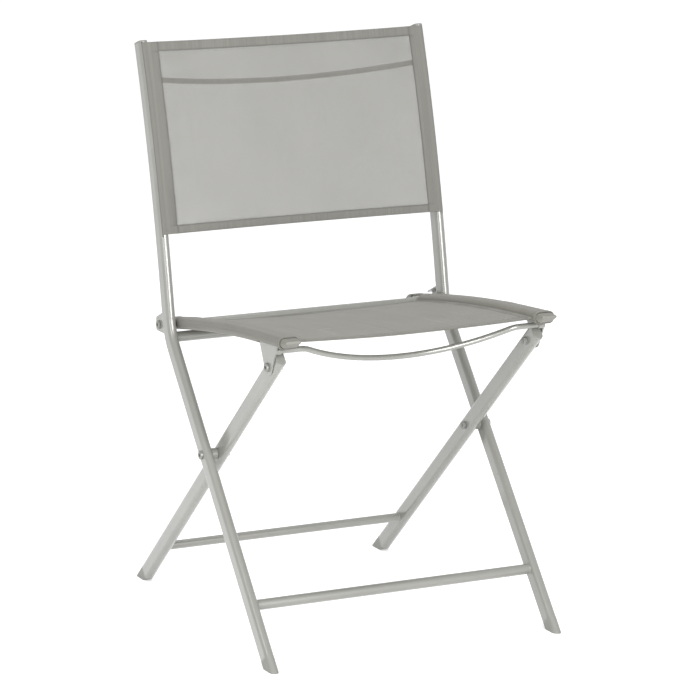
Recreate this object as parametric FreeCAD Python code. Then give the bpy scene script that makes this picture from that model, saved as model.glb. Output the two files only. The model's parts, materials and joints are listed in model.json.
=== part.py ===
"""Folding chair: two long bent tubes, a crossing rear leg frame and a sling seat that hooks on the legs.

Side plane coordinates are (y, z): y runs backwards from the point where the axis of a front leg meets
the floor, z runs up from the floor.  X runs across the chair, right being +X seen from the front.
Every right hand piece is built at +X and mirrored.  A lean is the angle of a tube from the vertical,
positive when it rises towards the back.
"""
import FreeCAD, Part
import math
import os
from FreeCAD import Vector

# ---- long tubes: front leg and back upright in one bent piece -------------------------------------
TUBE_DEPTH = 27.0            # flat-oval tube, wide side seen from the side of the chair
TUBE_WIDTH = 13.5            # the same tube across the chair
TUBE_WALL = 1.2
LONG_TUBE_X = 219.5          # centre of each long tube
FRONT_LEG_LEAN = 40.41
FRONT_LEG_LENGTH = 533.5     # floor point to the corner of the bend, on the axis
BEND_RADIUS = 80.0
UPRIGHT_LEAN = 9.5
UPRIGHT_STRAIGHT_TO_Z = 480.0
UPRIGHT_CURVE_RADIUS = 2470.0
UPRIGHT_TOP_Z = 819.0        # axis height of the outer face of the top cap

# ---- rear legs ------------------------------------------------------------------------------------
REAR_LEG_X = 196.5
REAR_LEG_LEAN = -49.6
REAR_LEG_FLOOR_Y = 522.3
CROSS_PIVOT_Y = 219.5
CROSS_PIVOT_Z = 257.8
HOOK_BOLT_FROM_CROSS = 247.8   # along the rear leg
REAR_LEG_PAST_HOOK = 27.0

# ---- plastic ends ---------------------------------------------------------------------------------
FRONT_FOOT_SEAM = 18.0       # along the axis, floor point to the tube end
REAR_FOOT_SEAM = 20.0
FOOT_HEEL_FLAT = 13.0        # flat of the sole behind the floor point
FOOT_HEEL_SLOPE = 25.0
SPIGOT_LENGTH = 16.0
CAP_THICKNESS = 2.5
CAP_EDGE_ROUND = 1.2
SEAT_SPIGOT_LENGTH = 11.0    # ends short of the pivot bolt
SEAT_TIP_LENGTH = 14.0
SEAT_TIP_NARROWER = 5.0      # how much the tip tapers across
SEAT_TIP_THINNER = 10.0      # and in height
SEAT_TIP_RISE = 2.5          # its edge above the tube centreline
SEAT_TIP_ROUND = 1.0

# ---- cross bars -----------------------------------------------------------------------------------
FRONT_STRETCHER_D = 15.0
FRONT_STRETCHER_Z = 76.0
REAR_STRETCHER_D = 13.0
REAR_STRETCHER_Z = 68.0
SEAT_REST_D = 15.0
SEAT_REST_Y = 343.0
SEAT_REST_Z = 404.0
WELD_LEG = 1.4               # width of the weld bead round a bar end
BAR_INTO_WELD = 4.0          # length of bar drawn past the tube face, then cut to the tube
BACK_BAR_D = 8.0
BACK_BAR_Z = UPRIGHT_TOP_Z - 53.0
BACK_BAR_BOW_BACK = 28.0
BACK_BAR_BOW_DOWN = 16.0
FRONT_BAR_D = 8.0
FRONT_BAR_Y = 8.5
FRONT_BAR_Z = 444.5
FRONT_BAR_BOW_BACK = 32.0
FRONT_BAR_BOW_DOWN = 32.0
FRONT_BAR_STRAIGHT_FROM = 168.0
FRONT_BAR_BEND_RADIUS = 30.0

# ---- seat -----------------------------------------------------------------------------------------
SEAT_TUBE_X = REAR_LEG_X - 2.0   # keeps the hook plate beside the leg under the tube
SEAT_TUBE_WIDTH = 27.0       # the same flat-oval tube, lying flat
SEAT_TUBE_HEIGHT = 13.5
SEAT_PIVOT_Y = 376.5
SEAT_PIVOT_Z = 417.0
SEAT_PITCH_AT_PIVOT = 9.7    # how steeply the seat tube rises forwards at its pivot
SEAT_CURVE_RADIUS = 3200.0
SEAT_TUBE_FRONT_Y = -17.0
SEAT_TUBE_REAR_Y = 395.5
SEAT_REAR_BAR_D = 13.0
SEAT_REAR_BAR_Y = 362.0
SEAT_REAR_BAR_DROP = 2.0     # below the tube centreline

# ---- fabric ---------------------------------------------------------------------------------------
FABRIC_GAP = 0.3
SEAT_FABRIC = 1.2
SEAT_SHEET_FRONT_Y = -10.0
SEAT_SHEET_REAR_Y = 352.0
SEAT_SLEEVE_FRONT_Y = -15.5
SEAT_SLEEVE_REAR_Y = 392.0
SEAT_SAG = 4.0
SLEEVE_CUTOUT_GAP = 0.6
PIVOT_EYELET_D = 15.0
BACK_FABRIC = 1.0
BACK_SHEET_TOP_Z = UPRIGHT_TOP_Z + 0.5
BACK_SHEET_BOTTOM_Z = 551.0
KEDER_D = 4.4
KEDER_FROM_CENTRE = 2.9      # rod centre from the centre of the tube's round front
SLOT_ANGLE = 30.0            # slot position round the tube front, towards the outside
SLOT_WIDTH = 1.6
SLOT_BOTTOM_Z = 545.0

# ---- bolts, nuts and brackets ---------------------------------------------------------------------
BOLT_D = 8.0
THREAD_D = 6.0
THREAD_PAST_NUT = 0.8
HEAD_D = 12.5
HEAD_HEIGHT = 3.5
HEAD_ROUND = 1.4
SOCKET_ACROSS_FLATS = 5.0
SOCKET_DEPTH = 2.2
NUT_ACROSS_FLATS = 10.0
NUT_HEIGHT = 5.0
NUT_EDGE = 0.6
RUNNING_FIT = 0.05           # radial clearance on a turning bolt
SIDE_GAP = 0.3               # clearance beside a turning tube
SPACER_D = 16.0
PLATE = 2.0
EAR_INNER_X = LONG_TUBE_X + 2.0
EAR_TOP_Y = 362.0
EAR_TOP_Z = 438.0
EAR_REAR_Y = 389.0
EAR_REAR_TOP_Z = 426.0
EAR_BOTTOM_Z = 407.0
EAR_FLANGE = 8.0
EAR_ROUND = 4.0
HOOK_GAP_TO_LEG = 0.65
HOOK_RADIUS = 11.0           # plate round the hook bolt
HOOK_SLOT_WIDTH = 9.0
HOOK_MOUTH_ANGLE = 39.8      # the open mouth points this far below straight back
HOOK_TOP_REAR_Y = 60.0
HOOK_TOP_FRONT_Y = -4.0
EYE_D = 10.6
EYE_LENGTH = 7.0

ACROSS = Vector(1, 0, 0)
FAR = 200.0                  # reach of cutting blocks
OVERCUT = 1.0                # cutters run this far past a face
END_SHARE = 0.9              # edges past this share of a length are its far end


def along(lean):
    """Unit vector up a tube with this lean."""
    a = math.radians(lean)
    return Vector(0, math.sin(a), math.cos(a))


def ahead(lean):
    """Unit vector square to the tube, towards the front."""
    a = math.radians(lean)
    return Vector(0, -math.cos(a), math.sin(a))


def mirrored(shape):
    return shape.mirror(Vector(0, 0, 0), ACROSS)


def solid_of(shape):
    """The single solid held in a result of a cut or a fuse."""
    return shape.Solids[0] if len(shape.Solids) == 1 else shape


def prism(points, x_from, x_to, rounding=0.0):
    """Plate with a side-plane outline, its corners rounded if a radius is given."""
    corners = [Vector(x_from, y, z) for y, z in points]
    plate = Part.Face(Part.makePolygon(corners + corners[:1])).extrude(Vector(x_to - x_from, 0, 0))
    if rounding:
        plate = plate.makeFillet(rounding, [edge for edge in plate.Edges if is_across(edge)])
    return plate


def is_across(edge):
    ends = [vertex.Point for vertex in edge.Vertexes]
    return len(ends) == 2 and abs(ends[0].x - ends[1].x) > 0.5 * edge.Length


def end_edges(shape, base, direction, length):
    """Edges at the far end of a piece that runs this length from its base."""
    return [e for e in shape.Edges if (e.CenterOfMass - base).dot(direction) > END_SHARE * length]


def oval_wire(centre, long_axis, short_axis, long_size, short_size):
    radius = short_size / 2
    reach = long_axis * (long_size / 2 - radius)
    rise = short_axis * radius
    tip = long_axis * (long_size / 2)
    a, b, c, d = centre + reach + rise, centre - reach + rise, centre - reach - rise, centre + reach - rise
    return Part.Wire([
        Part.makeLine(a, b),
        Part.Arc(b, centre - tip, c).toShape(),
        Part.makeLine(c, d),
        Part.Arc(d, centre + tip, a).toShape(),
    ])


def leg_section(centre, lean, inset=0.0):
    """Section of a leg or upright, its wide side in the side plane."""
    return oval_wire(centre, ahead(lean), ACROSS, TUBE_DEPTH - 2 * inset, TUBE_WIDTH - 2 * inset)


def extruded(wire, direction):
    return Part.Face(wire).extrude(direction)


def side_path(x, start, lean, moves):
    """Wire of tangent lines and arcs in the side plane; a move is (length,) or (radius, new lean)."""
    edges = []
    here = Vector(x, *start)
    for move in moves:
        if len(move) == 1:
            there = here + along(lean) * move[0]
            edges.append(Part.makeLine(here, there))
        else:
            radius, new_lean = move
            turn = 1 if new_lean < lean else -1
            hub = here + ahead(lean) * (turn * radius)
            middle = hub - ahead((lean + new_lean) / 2) * (turn * radius)
            there = hub - ahead(new_lean) * (turn * radius)
            edges.append(Part.Arc(here, middle, there).toShape())
            lean = new_lean
        here = there
    return Part.Wire(edges)


def swept(path, section, normal):
    maker = Part.BRepOffsetAPI.MakePipeShell(path)
    maker.setBiNormalMode(normal)
    maker.add(section)
    maker.build()
    maker.makeSolid()
    return maker.shape()


def cylinder(radius, x_from, x_to, y, z):
    """Round piece along X."""
    return Part.makeCylinder(radius, x_to - x_from, Vector(x_from, y, z), ACROSS)


def hexagon(across_flats, x_from, x_to, y, z):
    corner = across_flats / math.sqrt(3)
    angles = [math.radians(60 * k) for k in range(6)]
    return prism([(y + corner * math.cos(a), z + corner * math.sin(a)) for a in angles], x_from, x_to)


# ---- places on the tubes --------------------------------------------------------------------------
def front_leg_at(distance):
    point = along(FRONT_LEG_LEAN) * distance
    return point.y, point.z


CORNER_Y, CORNER_Z = front_leg_at(FRONT_LEG_LENGTH)
CURVE_START_Z = UPRIGHT_STRAIGHT_TO_Z
CURVE_START_Y = CORNER_Y + (CURVE_START_Z - CORNER_Z) * math.tan(math.radians(UPRIGHT_LEAN))
UPRIGHT_HUB = Vector(0, CURVE_START_Y, CURVE_START_Z) - ahead(UPRIGHT_LEAN) * UPRIGHT_CURVE_RADIUS


def upright_lean(axis_z):
    """Lean of the curved upright where its axis is at this height."""
    return math.degrees(math.asin((axis_z - UPRIGHT_HUB.z) / UPRIGHT_CURVE_RADIUS))


def upright_axis(x, lean):
    return Vector(x, UPRIGHT_HUB.y, UPRIGHT_HUB.z) + ahead(lean) * UPRIGHT_CURVE_RADIUS


def sheet_lean(sheet_z, forward):
    """Lean at which a surface this far ahead of the upright axis is at this height."""
    return math.degrees(math.asin((sheet_z - UPRIGHT_HUB.z) / (UPRIGHT_CURVE_RADIUS + forward)))


def round_upright(face, lean_from, lean_to):
    """Carry a section along the curved upright."""
    return face.revolve(Vector(0, UPRIGHT_HUB.y, UPRIGHT_HUB.z), Vector(-1, 0, 0), lean_to - lean_from)


SEAT_PITCH = math.radians(SEAT_PITCH_AT_PIVOT)
SEAT_HUB_Y = SEAT_PIVOT_Y - SEAT_CURVE_RADIUS * math.sin(SEAT_PITCH)
SEAT_HUB_Z = SEAT_PIVOT_Z - SEAT_CURVE_RADIUS * math.cos(SEAT_PITCH)


def seat_pitch(y):
    return math.degrees(math.asin((y - SEAT_HUB_Y) / SEAT_CURVE_RADIUS))


def seat_up(y):
    """Unit vector square to the seat tube, upwards."""
    a = math.radians(seat_pitch(y))
    return Vector(0, math.sin(a), math.cos(a))


def seat_forward(y):
    a = math.radians(seat_pitch(y))
    return Vector(0, -math.cos(a), math.sin(a))


def seat_axis(x, y):
    return Vector(x, SEAT_HUB_Y, SEAT_HUB_Z) + seat_up(y) * SEAT_CURVE_RADIUS


def round_seat(face, y_from, y_to):
    """Carry a section along the curved seat tube, from the back towards the front."""
    hub = Vector(0, SEAT_HUB_Y, SEAT_HUB_Z)
    return face.revolve(hub, ACROSS, seat_pitch(y_from) - seat_pitch(y_to))


def seat_section(y, inset=0.0):
    centre = seat_axis(SEAT_TUBE_X, y)
    return oval_wire(centre, ACROSS, seat_up(y), SEAT_TUBE_WIDTH - 2 * inset, SEAT_TUBE_HEIGHT - 2 * inset)


# ---- long tube and its fittings -------------------------------------------------------------------
LONG_INNER_X = LONG_TUBE_X - TUBE_WIDTH / 2
LONG_OUTER_X = LONG_TUBE_X + TUBE_WIDTH / 2
REAR_INNER_X = REAR_LEG_X - TUBE_WIDTH / 2
REAR_OUTER_X = REAR_LEG_X + TUBE_WIDTH / 2
CAP_LEAN = upright_lean(UPRIGHT_TOP_Z)
TOP_LEAN = CAP_LEAN - math.degrees(CAP_THICKNESS / UPRIGHT_CURVE_RADIUS)


def long_tube_path():
    bend_run = BEND_RADIUS * math.tan(math.radians((FRONT_LEG_LEAN - UPRIGHT_LEAN) / 2))
    straight = (CURVE_START_Z - CORNER_Z) / math.cos(math.radians(UPRIGHT_LEAN))
    moves = [
        (FRONT_LEG_LENGTH - FRONT_FOOT_SEAM - bend_run,),
        (BEND_RADIUS, UPRIGHT_LEAN),
        (straight - bend_run,),
        (UPRIGHT_CURVE_RADIUS, TOP_LEAN),
    ]
    return side_path(LONG_TUBE_X, front_leg_at(FRONT_FOOT_SEAM), FRONT_LEG_LEAN, moves)


def long_tube_body(inset):
    start = Vector(LONG_TUBE_X, *front_leg_at(FRONT_FOOT_SEAM))
    return swept(long_tube_path(), leg_section(start, FRONT_LEG_LEAN, inset), ACROSS)


def sling_point(lean, x, forward):
    """Point in the section of the upright: x across, forward ahead of the axis."""
    return upright_axis(x, lean) + ahead(lean) * forward


def slot_frame(lean):
    """Centre of the round front of the upright and the directions out of and across its slot."""
    a = math.radians(SLOT_ANGLE)
    centre = sling_point(lean, LONG_TUBE_X, (TUBE_DEPTH - TUBE_WIDTH) / 2)
    out = ACROSS * math.sin(a) + ahead(lean) * math.cos(a)
    over = ACROSS * math.cos(a) - ahead(lean) * math.sin(a)
    return centre, out, over


def keder_slot():
    lean = upright_lean(SLOT_BOTTOM_Z)
    centre, out, over = slot_frame(lean)
    half = over * (SLOT_WIDTH / 2)
    inner = centre + out * (TUBE_WIDTH / 2 - 2 * TUBE_WALL)
    outer = centre + out * TUBE_WIDTH
    corners = [inner - half, outer - half, outer + half, inner + half]
    return round_upright(Part.Face(Part.makePolygon(corners + corners[:1])), lean, CAP_LEAN)


LONG_OUTSIDE = long_tube_body(0.0)
LONG_OUTSIDES = Part.makeCompound([LONG_OUTSIDE, mirrored(LONG_OUTSIDE)])


def long_tube():
    tube = LONG_OUTSIDE.cut(long_tube_body(TUBE_WALL))
    inner, outer = LONG_INNER_X - OVERCUT, LONG_OUTER_X + OVERCUT
    bolt_hole = cylinder(BOLT_D / 2, inner, outer, CROSS_PIVOT_Y, CROSS_PIVOT_Z)
    return solid_of(tube.cut(bolt_hole).cut(keder_slot()))


def top_cap():
    """Flush cap with a spigot in the back half of the bore, clear of the keder rod."""
    base = upright_axis(LONG_TUBE_X, TOP_LEAN)
    cap = extruded(leg_section(base, TOP_LEAN), along(TOP_LEAN) * CAP_THICKNESS)
    cap = cap.makeFillet(CAP_EDGE_ROUND, end_edges(cap, base, along(TOP_LEAN), CAP_THICKNESS))
    spigot = extruded(leg_section(base, TOP_LEAN, TUBE_WALL), along(TOP_LEAN) * -SPIGOT_LENGTH)
    front = Part.makeBox(2 * TUBE_WIDTH, FAR, FAR, Vector(-TUBE_WIDTH, 0, -FAR / 2))
    turned = FreeCAD.Placement(base, FreeCAD.Rotation(ACROSS, 180 - TOP_LEAN))
    front.Placement = turned.multiply(front.Placement)
    curve_relief = spigot.common(long_tube_body(TUBE_WALL))
    return solid_of(cap.fuse(curve_relief.cut(front)).removeSplitter())


def foot(x, floor_y, lean, seam):
    """Plug that carries the tube section down to a level sole with a raised heel."""
    floor_point = Vector(x, floor_y, 0)
    seam_point = floor_point + along(lean) * seam
    block = extruded(leg_section(seam_point, lean), along(lean) * (-2 * seam - TUBE_DEPTH))
    heel = math.copysign(1, lean)
    flat_end = floor_y + heel * FOOT_HEEL_FLAT
    heel_far = floor_y + heel * FAR
    rise = (FAR - FOOT_HEEL_FLAT) * math.tan(math.radians(FOOT_HEEL_SLOPE))
    toe_far = floor_y - heel * FAR
    outline = [(toe_far, 0), (flat_end, 0), (heel_far, rise), (heel_far, FAR), (toe_far, FAR)]
    sole = prism(outline, x - TUBE_WIDTH, x + TUBE_WIDTH)
    spigot = extruded(leg_section(seam_point, lean, TUBE_WALL), along(lean) * SPIGOT_LENGTH)
    return solid_of(block.common(sole).fuse(spigot).removeSplitter())


def cross_bar(diameter, face_x, y, z, tubes):
    """Straight bar with a weld bead at each end, cut to fit the tubes it meets."""
    radius = diameter / 2
    bar = cylinder(radius, -face_x - BAR_INTO_WELD, face_x + BAR_INTO_WELD, y, z)
    bead = Part.makeCone(radius, radius + WELD_LEG, WELD_LEG, Vector(face_x - WELD_LEG, y, z), ACROSS)
    tail = cylinder(radius + WELD_LEG, face_x, face_x + BAR_INTO_WELD, y, z)
    for piece in (bead, tail):
        bar = bar.fuse(piece).fuse(mirrored(piece))
    return largest(bar.cut(tubes))


def largest(shape):
    """The biggest solid of a shape, dropping the stubs left past a cut."""
    return max(shape.Solids, key=lambda solid: solid.Volume)


def bowed_at(x, chord_half, bow):
    """Offset of a circular bow at x, nothing at the chord ends and all of it in the middle."""
    radius = (chord_half ** 2 + bow ** 2) / (2 * bow)
    return math.sqrt(radius ** 2 - x ** 2) - (radius - bow)


def back_bar():
    lean = upright_lean(BACK_BAR_Z)
    centre = upright_axis(0, lean)
    bow = math.hypot(BACK_BAR_BOW_BACK, BACK_BAR_BOW_DOWN)
    way = Vector(0, BACK_BAR_BOW_BACK / bow, -BACK_BAR_BOW_DOWN / bow)
    end_x = LONG_INNER_X + BAR_INTO_WELD
    ends = [centre + ACROSS * x + way * bowed_at(x, LONG_INNER_X, bow) for x in (-end_x, 0, end_x)]
    arc = Part.Arc(*ends)
    start_way = arc.toShape().tangentAt(arc.FirstParameter)
    ring = Part.Wire([Part.Circle(ends[0], start_way, BACK_BAR_D / 2).toShape()])
    bar = swept(Part.Wire([arc.toShape()]), ring, ACROSS.cross(way))
    return largest(bar.cut(LONG_OUTSIDES))


def pivot_ear():
    """Plate behind the upright with its top and bottom edges turned inboard."""
    upright_y = CORNER_Y
    outline = [
        (upright_y, EAR_BOTTOM_Z),
        (EAR_REAR_Y, EAR_BOTTOM_Z),
        (EAR_REAR_Y, EAR_REAR_TOP_Z),
        (EAR_TOP_Y, EAR_TOP_Z),
        (upright_y, EAR_TOP_Z),
    ]
    slope = (EAR_TOP_Z - EAR_REAR_TOP_Z) / (EAR_REAR_Y - EAR_TOP_Y)
    drop = PLATE * math.hypot(1, slope)
    inside = [
        (upright_y - PLATE, EAR_BOTTOM_Z + PLATE),
        (EAR_REAR_Y + PLATE, EAR_BOTTOM_Z + PLATE),
        (EAR_REAR_Y + PLATE, EAR_REAR_TOP_Z - drop - PLATE * slope),
        (EAR_TOP_Y, EAR_TOP_Z - drop),
        (upright_y - PLATE, EAR_TOP_Z - drop),
    ]
    channel = prism(outline, EAR_INNER_X - EAR_FLANGE, EAR_INNER_X + PLATE, EAR_ROUND)
    ear = channel.cut(prism(inside, EAR_INNER_X - 2 * EAR_FLANGE, EAR_INNER_X))
    hole_end = EAR_INNER_X + PLATE + OVERCUT
    hole = cylinder(BOLT_D / 2, EAR_INNER_X - OVERCUT, hole_end, SEAT_PIVOT_Y, SEAT_PIVOT_Z)
    return largest(ear.cut(LONG_OUTSIDE).cut(hole))


def bolt(head_x, shoulder_x, nut_x, y, z):
    """Shoulder bolt: round head outside, shank in to the shoulder, thread through the nut."""
    head = cylinder(HEAD_D / 2, head_x, head_x + HEAD_HEIGHT, y, z)
    rim = [e for e in head.Edges if e.CenterOfMass.x > head_x + HEAD_HEIGHT / 2 and len(e.Vertexes) == 1]
    head = head.makeFillet(HEAD_ROUND, rim)
    top_x = head_x + HEAD_HEIGHT
    socket = hexagon(SOCKET_ACROSS_FLATS, top_x - SOCKET_DEPTH, top_x + OVERCUT, y, z)
    shank = cylinder(BOLT_D / 2, shoulder_x, head_x, y, z)
    thread = cylinder(THREAD_D / 2, nut_x - THREAD_PAST_NUT, shoulder_x, y, z)
    return solid_of(head.cut(socket).fuse([shank, thread]).removeSplitter())


def nut(inner_x, y, z):
    """Hexagon nut with a cone on its inboard corners."""
    body = hexagon(NUT_ACROSS_FLATS, inner_x, inner_x + NUT_HEIGHT, y, z)
    corner = NUT_ACROSS_FLATS / math.sqrt(3)
    small = corner - NUT_EDGE
    cone = Part.makeCone(small, small + NUT_HEIGHT, NUT_HEIGHT, Vector(inner_x, y, z), ACROSS)
    bore = cylinder(THREAD_D / 2, inner_x - OVERCUT, inner_x + NUT_HEIGHT + OVERCUT, y, z)
    return solid_of(body.common(cone).cut(bore))


# ---- back fabric ----------------------------------------------------------------------------------
def sling_outline(lean):
    """Closed outline of the back fabric across the chair: out of one slot, over the front, into the other."""
    centre, out, over = slot_frame(lean)
    half = over * (BACK_FABRIC / 2)
    inside_r = TUBE_WIDTH / 2 + FABRIC_GAP
    outside_r = inside_r + BACK_FABRIC
    forward = ahead(lean)
    root = centre + out * KEDER_FROM_CENTRE
    outer_reach = math.sqrt(outside_r ** 2 - (BACK_FABRIC / 2) ** 2)
    inner_reach = math.sqrt(inside_r ** 2 - (BACK_FABRIC / 2) ** 2)
    half_turn = math.radians(SLOT_ANGLE / 2)
    mid = ACROSS * math.sin(half_turn) + forward * math.cos(half_turn)
    outer_slot = centre + out * outer_reach + half
    inner_slot = centre + out * inner_reach - half
    outer_front = centre + forward * outside_r
    inner_front = centre + forward * inside_r
    right = [
        Part.Arc(outer_front, centre + mid * outside_r, outer_slot).toShape(),
        Part.makeLine(outer_slot, root + half),
        Part.makeLine(root + half, root - half),
        Part.makeLine(root - half, inner_slot),
        Part.Arc(inner_slot, centre + mid * inside_r, inner_front).toShape(),
    ]
    flip = [mirrored(edge) for edge in right]
    straight = [
        Part.makeLine(outer_front, Vector(-outer_front.x, outer_front.y, outer_front.z)),
        Part.makeLine(inner_front, Vector(-inner_front.x, inner_front.y, inner_front.z)),
    ]
    return Part.Wire(Part.__sortEdges__(right + flip + straight))


SHEET_FORWARD = TUBE_DEPTH / 2 + FABRIC_GAP + BACK_FABRIC / 2
SHEET_TOP_LEAN = sheet_lean(BACK_SHEET_TOP_Z, SHEET_FORWARD)
SHEET_BOTTOM_LEAN = sheet_lean(BACK_SHEET_BOTTOM_Z, SHEET_FORWARD)


def keder_rod():
    centre, out, over = slot_frame(SHEET_BOTTOM_LEAN)
    ring = Part.Circle(centre + out * KEDER_FROM_CENTRE, along(SHEET_BOTTOM_LEAN), KEDER_D / 2).toShape()
    return round_upright(Part.Face(Part.Wire([ring])), SHEET_BOTTOM_LEAN, SHEET_TOP_LEAN)


def back_sling():
    sheet = round_upright(Part.Face(sling_outline(SHEET_BOTTOM_LEAN)), SHEET_BOTTOM_LEAN, SHEET_TOP_LEAN)
    rod = keder_rod()
    return largest(sheet.cut(rod).cut(mirrored(rod)))


# ---- rear legs ------------------------------------------------------------------------------------
CROSS_PIVOT = Vector(0, CROSS_PIVOT_Y, CROSS_PIVOT_Z)
HOOK_BOLT = CROSS_PIVOT + along(REAR_LEG_LEAN) * HOOK_BOLT_FROM_CROSS
REAR_FLOOR = Vector(REAR_LEG_X, REAR_LEG_FLOOR_Y, 0)
REAR_BOTTOM = REAR_FLOOR + along(REAR_LEG_LEAN) * REAR_FOOT_SEAM
REAR_TOP = HOOK_BOLT + ACROSS * REAR_LEG_X + along(REAR_LEG_LEAN) * (REAR_LEG_PAST_HOOK - CAP_THICKNESS)


def rear_leg_body(inset):
    return extruded(leg_section(REAR_BOTTOM, REAR_LEG_LEAN, inset), REAR_TOP - REAR_BOTTOM)


REAR_OUTSIDE = rear_leg_body(0.0)
REAR_OUTSIDES = Part.makeCompound([REAR_OUTSIDE, mirrored(REAR_OUTSIDE)])


def rear_leg():
    tube = REAR_OUTSIDE.cut(rear_leg_body(TUBE_WALL))
    inner, outer = REAR_INNER_X - OVERCUT, REAR_OUTER_X + OVERCUT
    turning = cylinder(BOLT_D / 2 + RUNNING_FIT, inner, outer, CROSS_PIVOT_Y, CROSS_PIVOT_Z)
    fixed = cylinder(BOLT_D / 2, inner, outer, HOOK_BOLT.y, HOOK_BOLT.z)
    return solid_of(tube.cut(turning).cut(fixed))


def rear_leg_plug():
    up = along(REAR_LEG_LEAN)
    cap = extruded(leg_section(REAR_TOP, REAR_LEG_LEAN), up * CAP_THICKNESS)
    cap = cap.makeFillet(CAP_EDGE_ROUND, end_edges(cap, REAR_TOP, up, CAP_THICKNESS))
    spigot = extruded(leg_section(REAR_TOP, REAR_LEG_LEAN, TUBE_WALL), up * -SPIGOT_LENGTH)
    return solid_of(cap.fuse(spigot).removeSplitter())


# ---- seat -----------------------------------------------------------------------------------------
SEAT_INNER_X = SEAT_TUBE_X - SEAT_TUBE_WIDTH / 2
SEAT_REAR_BAR_Z = seat_axis(0, SEAT_REAR_BAR_Y).z - SEAT_REAR_BAR_DROP
SEAT_OUTSIDE = round_seat(Part.Face(seat_section(SEAT_TUBE_REAR_Y)), SEAT_TUBE_REAR_Y, SEAT_TUBE_FRONT_Y)
SEAT_OUTSIDES = Part.makeCompound([SEAT_OUTSIDE, mirrored(SEAT_OUTSIDE)])


def seat_tube():
    bore_face = Part.Face(seat_section(SEAT_TUBE_REAR_Y, TUBE_WALL))
    tube = SEAT_OUTSIDE.cut(round_seat(bore_face, SEAT_TUBE_REAR_Y, SEAT_TUBE_FRONT_Y))
    hole_radius = BOLT_D / 2 + RUNNING_FIT
    hole = cylinder(hole_radius, SEAT_INNER_X - OVERCUT, LONG_INNER_X, SEAT_PIVOT_Y, SEAT_PIVOT_Z)
    return solid_of(tube.cut(hole))


def seat_spigot(y, inward):
    """Spigot that follows the bore from the tube end at y; inward is its reach in y."""
    bore = Part.Face(seat_section(y, TUBE_WALL))
    return round_seat(bore, y, y - inward)


def seat_end_cap(y, outward):
    """Flat cap on a seat tube end; outward points out of the tube."""
    centre = seat_axis(SEAT_TUBE_X, y)
    cap = extruded(seat_section(y), outward * CAP_THICKNESS)
    cap = cap.makeFillet(CAP_EDGE_ROUND, end_edges(cap, centre, outward, CAP_THICKNESS))
    return solid_of(cap.fuse(seat_spigot(y, SEAT_SPIGOT_LENGTH)).removeSplitter())


def seat_tip():
    """Wedge-shaped tip on the front of a seat tube."""
    y = SEAT_TUBE_FRONT_Y
    out = seat_forward(y)
    base = seat_axis(SEAT_TUBE_X, y)
    end_centre = base + out * SEAT_TIP_LENGTH + seat_up(y) * SEAT_TIP_RISE
    end_width = SEAT_TUBE_WIDTH - SEAT_TIP_NARROWER
    end = oval_wire(end_centre, ACROSS, seat_up(y), end_width, SEAT_TUBE_HEIGHT - SEAT_TIP_THINNER)
    tip = Part.makeLoft([seat_section(y), end], True, True)
    tip = tip.makeFillet(SEAT_TIP_ROUND, end_edges(tip, base, out, SEAT_TIP_LENGTH))
    return solid_of(tip.fuse(seat_spigot(y, -SPIGOT_LENGTH)).removeSplitter())


def seat_rear_bar():
    return cross_bar(SEAT_REAR_BAR_D, SEAT_INNER_X, SEAT_REAR_BAR_Y, SEAT_REAR_BAR_Z, SEAT_OUTSIDES)


HOOK_INNER_X = REAR_OUTER_X + HOOK_GAP_TO_LEG
HOOK_OUTER_X = HOOK_INNER_X + PLATE


def front_bar():
    """Bar between the hook plates: straight ends, a small bend, then one wide bow back and down."""
    bow = math.hypot(FRONT_BAR_BOW_BACK, FRONT_BAR_BOW_DOWN)
    way = Vector(0, FRONT_BAR_BOW_BACK / bow, -FRONT_BAR_BOW_DOWN / bow)
    turn = 2 * math.atan(bow / FRONT_BAR_STRAIGHT_FROM)
    small = FRONT_BAR_BEND_RADIUS
    chord = Vector(0, FRONT_BAR_Y, FRONT_BAR_Z)

    def on_bar(x, offset):
        return chord + ACROSS * x + way * offset

    def small_bend(angle):
        return FRONT_BAR_STRAIGHT_FROM - small * math.sin(angle), small * (1 - math.cos(angle))

    joint_x, joint_offset = small_bend(turn)
    half_x, half_offset = small_bend(turn / 2)
    edges = [
        Part.makeLine(on_bar(-HOOK_INNER_X, 0), on_bar(-FRONT_BAR_STRAIGHT_FROM, 0)),
        Part.Arc(on_bar(-FRONT_BAR_STRAIGHT_FROM, 0), on_bar(-half_x, half_offset),
                 on_bar(-joint_x, joint_offset)).toShape(),
        Part.Arc(on_bar(-joint_x, joint_offset), on_bar(0, bow), on_bar(joint_x, joint_offset)).toShape(),
        Part.Arc(on_bar(joint_x, joint_offset), on_bar(half_x, half_offset),
                 on_bar(FRONT_BAR_STRAIGHT_FROM, 0)).toShape(),
        Part.makeLine(on_bar(FRONT_BAR_STRAIGHT_FROM, 0), on_bar(HOOK_INNER_X, 0)),
    ]
    ring = Part.Wire([Part.Circle(on_bar(-HOOK_INNER_X, 0), ACROSS, FRONT_BAR_D / 2).toShape()])
    return swept(Part.Wire(edges), ring, ACROSS.cross(way))


def tangent_point(centre, radius, point, turn):
    """Where a line from point touches the circle, on the side given by turn (1 or -1)."""
    dy, dz = point[0] - centre[0], point[1] - centre[1]
    reach = math.hypot(dy, dz)
    angle = math.atan2(dz, dy) + turn * math.acos(radius / reach)
    return centre[0] + radius * math.cos(angle), centre[1] + radius * math.sin(angle)


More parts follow.
